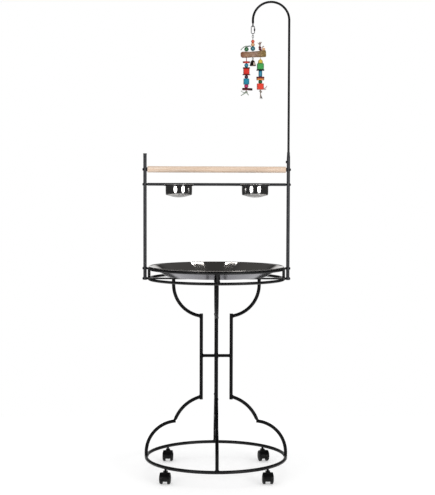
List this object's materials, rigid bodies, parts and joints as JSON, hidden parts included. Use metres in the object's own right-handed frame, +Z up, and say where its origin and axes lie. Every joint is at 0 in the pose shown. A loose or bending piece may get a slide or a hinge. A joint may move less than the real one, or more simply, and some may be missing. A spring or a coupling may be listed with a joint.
{
  "type": "bird t-stand",
  "caption": "Free-standing parrot perch on a wheeled base of bent rod, with a round catch tray, cup holders and a toy hook that carries a hanging toy.",
  "frame": {"origin": "on the floor under the middle of the base hoop", "axes": "+Z up, +X to the right towards the toy hook's upright, -Y to the front, where the cups are"},
  "size_m": [0.5224, 0.5076, 1.6605],
  "materials": {
    "frame_coat": "satin black powder coat",
    "upright_coat": "textured dark grey powder coat",
    "black_screws": "black zinc",
    "black_plastic": "moulded black nylon",
    "polished_stainless": "mirror-polished stainless steel",
    "perch_wood": "sanded bare hardwood",
    "caster_nylon": "moulded black nylon",
    "wheel_nylon": "moulded black nylon",
    "zinc_steel": "bright zinc plate",
    "painted_beads": "food-dyed wood in several colours",
    "painted_blocks": "food-dyed wood in several colours",
    "log_bark": "round branch with its bark",
    "cotton_cord": "twisted cotton",
    "knotted_cord": "knotted twisted cotton",
    "bell_metal": "nickel plate",
    "clapper_metal": "polished"
  },
  "bodies": {
    "stand": {"base_ring": "frame_coat", "left_leg": "frame_coat", "right_leg": "frame_coat", "front_leg": "frame_coat", "back_leg": "frame_coat", "leg_cross_tie": "frame_coat", "lower_tray_ring": "frame_coat", "upper_tray_ring": "frame_coat", "ring_struts": "frame_coat", "tray_cross_bars": "frame_coat", "leg_top_screws": "black_screws", "left_upright": "upright_coat", "right_upright": "upright_coat", "left_upright_plug": "black_plastic", "ring_bolts": "black_screws", "ring_bolt_spacers": "black_plastic", "perch": "perch_wood", "perch_screws": "black_screws", "perch_washers": "black_screws", "cup_crossbar": "upright_coat", "crossbar_screws": "black_screws", "crossbar_bushes": "black_plastic", "left_cup_ring": "frame_coat", "right_cup_ring": "frame_coat", "caster_stems": "zinc_steel"},
    "tray": {"tray": "polished_stainless"},
    "left_cup": {"left_cup": "polished_stainless"},
    "right_cup": {"right_cup": "polished_stainless"},
    "hook": {"toy_hook": "frame_coat"},
    "set_screw": {"hook_set_screw": "black_screws"},
    "link": {"quick_link": "zinc_steel"},
    "link_nut": {"quick_link_nut": "black_screws"},
    "toy": {"chain_links": "zinc_steel", "toy_wire": "zinc_steel", "top_beads": "painted_beads", "log": "log_bark", "top_knots": "knotted_cord"},
    "left_strand": {"left_cord": "cotton_cord", "left_strand_blocks": "painted_blocks"},
    "right_strand": {"right_cord": "cotton_cord", "right_strand_blocks": "painted_blocks"},
    "bell": {"bell": "bell_metal"},
    "clapper": {"clapper": "clapper_metal"},
    "front_left_caster": {"front_left_caster_housing": "caster_nylon", "front_left_caster_axle": "zinc_steel"},
    "front_left_left_wheel": {"front_left_caster_left_wheel": "wheel_nylon"},
    "front_left_right_wheel": {"front_left_caster_right_wheel": "wheel_nylon"},
    "front_right_caster": {"front_right_caster_housing": "caster_nylon", "front_right_caster_axle": "zinc_steel"},
    "front_right_left_wheel": {"front_right_caster_left_wheel": "wheel_nylon"},
    "front_right_right_wheel": {"front_right_caster_right_wheel": "wheel_nylon"},
    "back_left_caster": {"back_left_caster_housing": "caster_nylon", "back_left_caster_axle": "zinc_steel"},
    "back_left_left_wheel": {"back_left_caster_left_wheel": "wheel_nylon"},
    "back_left_right_wheel": {"back_left_caster_right_wheel": "wheel_nylon"},
    "back_right_caster": {"back_right_caster_housing": "caster_nylon", "back_right_caster_axle": "zinc_steel"},
    "back_right_left_wheel": {"back_right_caster_left_wheel": "wheel_nylon"},
    "back_right_right_wheel": {"back_right_caster_right_wheel": "wheel_nylon"}
  },
  "joints": [
    {"name": "tray_lift", "type": "slide", "parent": "stand", "child": "tray", "axis": [0, 0, 1], "range_m": [0, 0.06]},
    {"name": "left_cup_lift", "type": "slide", "parent": "stand", "child": "left_cup", "axis": [0, 0, 1], "range_m": [0, 0.06]},
    {"name": "right_cup_lift", "type": "slide", "parent": "stand", "child": "right_cup", "axis": [0, 0, 1], "range_m": [0, 0.06]},
    {"name": "hook_swivel", "type": "hinge", "parent": "stand", "child": "hook", "pos_m": [0.252, 0, 1.133], "axis": [0, 0, 1], "continuous": true},
    {"name": "set_screw_turn", "type": "hinge", "parent": "stand", "child": "set_screw", "pos_m": [0.246, 0, 1.099], "axis": [1, 0, 0], "continuous": true},
    {"name": "link_swing", "type": "hinge", "parent": "hook", "child": "link", "pos_m": [0.125, 0, 1.5736], "axis": [1, 0, 0], "range_deg": [-60, 60]},
    {"name": "link_nut_turn", "type": "hinge", "parent": "link", "child": "link_nut", "pos_m": [0.13075, 0, 1.5596], "axis": [0, 0, 1], "continuous": true},
    {"name": "toy_swing", "type": "hinge", "parent": "link", "child": "toy", "pos_m": [0.125, 0, 1.5456], "axis": [0, 1, 0], "range_deg": [-15, 15]},
    {"name": "left_strand_swing", "type": "hinge", "parent": "toy", "child": "left_strand", "pos_m": [0.1028, 0, 1.46296], "axis": [1, 0, 0], "range_deg": [-25, 25]},
    {"name": "right_strand_swing", "type": "hinge", "parent": "toy", "child": "right_strand", "pos_m": [0.1518, 0, 1.4644], "axis": [1, 0, 0], "range_deg": [-25, 25]},
    {"name": "bell_swing", "type": "hinge", "parent": "toy", "child": "bell", "pos_m": [0.125, 0, 1.45661], "axis": [1, 0, 0], "range_deg": [-25, 25]},
    {"name": "clapper_swing", "type": "hinge", "parent": "bell", "child": "clapper", "pos_m": [0.125, 0, 1.45201], "axis": [1, 0, 0], "range_deg": [-12, 12]},
    {"name": "front_left_swivel", "type": "hinge", "parent": "stand", "child": "front_left_caster", "pos_m": [-0.17466, -0.17466, 0.0488], "axis": [0, 0, 1], "continuous": true},
    {"name": "front_left_left_wheel_spin", "type": "hinge", "parent": "front_left_caster", "child": "front_left_left_wheel", "pos_m": [-0.17588, -0.1886, 0.019], "axis": [0.9962, -0.0872, 0], "continuous": true},
    {"name": "front_left_right_wheel_spin", "type": "hinge", "parent": "front_left_caster", "child": "front_left_right_wheel", "pos_m": [-0.17588, -0.1886, 0.019], "axis": [0.9962, -0.0872, 0], "continuous": true},
    {"name": "front_right_swivel", "type": "hinge", "parent": "stand", "child": "front_right_caster", "pos_m": [0.17466, -0.17466, 0.0488], "axis": [0, 0, 1], "continuous": true},
    {"name": "front_right_left_wheel_spin", "type": "hinge", "parent": "front_right_caster", "child": "front_right_left_wheel", "pos_m": [0.17466, -0.18865, 0.019], "axis": [1, 0, 0], "continuous": true},
    {"name": "front_right_right_wheel_spin", "type": "hinge", "parent": "front_right_caster", "child": "front_right_right_wheel", "pos_m": [0.17466, -0.18865, 0.019], "axis": [1, 0, 0], "continuous": true},
    {"name": "back_left_swivel", "type": "hinge", "parent": "stand", "child": "back_left_caster", "pos_m": [-0.17466, 0.17466, 0.0488], "axis": [0, 0, 1], "continuous": true},
    {"name": "back_left_left_wheel_spin", "type": "hinge", "parent": "back_left_caster", "child": "back_left_left_wheel", "pos_m": [-0.17466, 0.16065, 0.019], "axis": [1, 0, 0], "continuous": true},
    {"name": "back_left_right_wheel_spin", "type": "hinge", "parent": "back_left_caster", "child": "back_left_right_wheel", "pos_m": [-0.17466, 0.16065, 0.019], "axis": [1, 0, 0], "continuous": true},
    {"name": "back_right_swivel", "type": "hinge", "parent": "stand", "child": "back_right_caster", "pos_m": [0.17466, 0.17466, 0.0488], "axis": [0, 0, 1], "continuous": true},
    {"name": "back_right_left_wheel_spin", "type": "hinge", "parent": "back_right_caster", "child": "back_right_left_wheel", "pos_m": [0.17757, 0.16096, 0.019], "axis": [0.9781, 0.2079, 0], "continuous": true},
    {"name": "back_right_right_wheel_spin", "type": "hinge", "parent": "back_right_caster", "child": "back_right_right_wheel", "pos_m": [0.17757, 0.16096, 0.019], "axis": [0.9781, 0.2079, 0], "continuous": true}
  ]
}
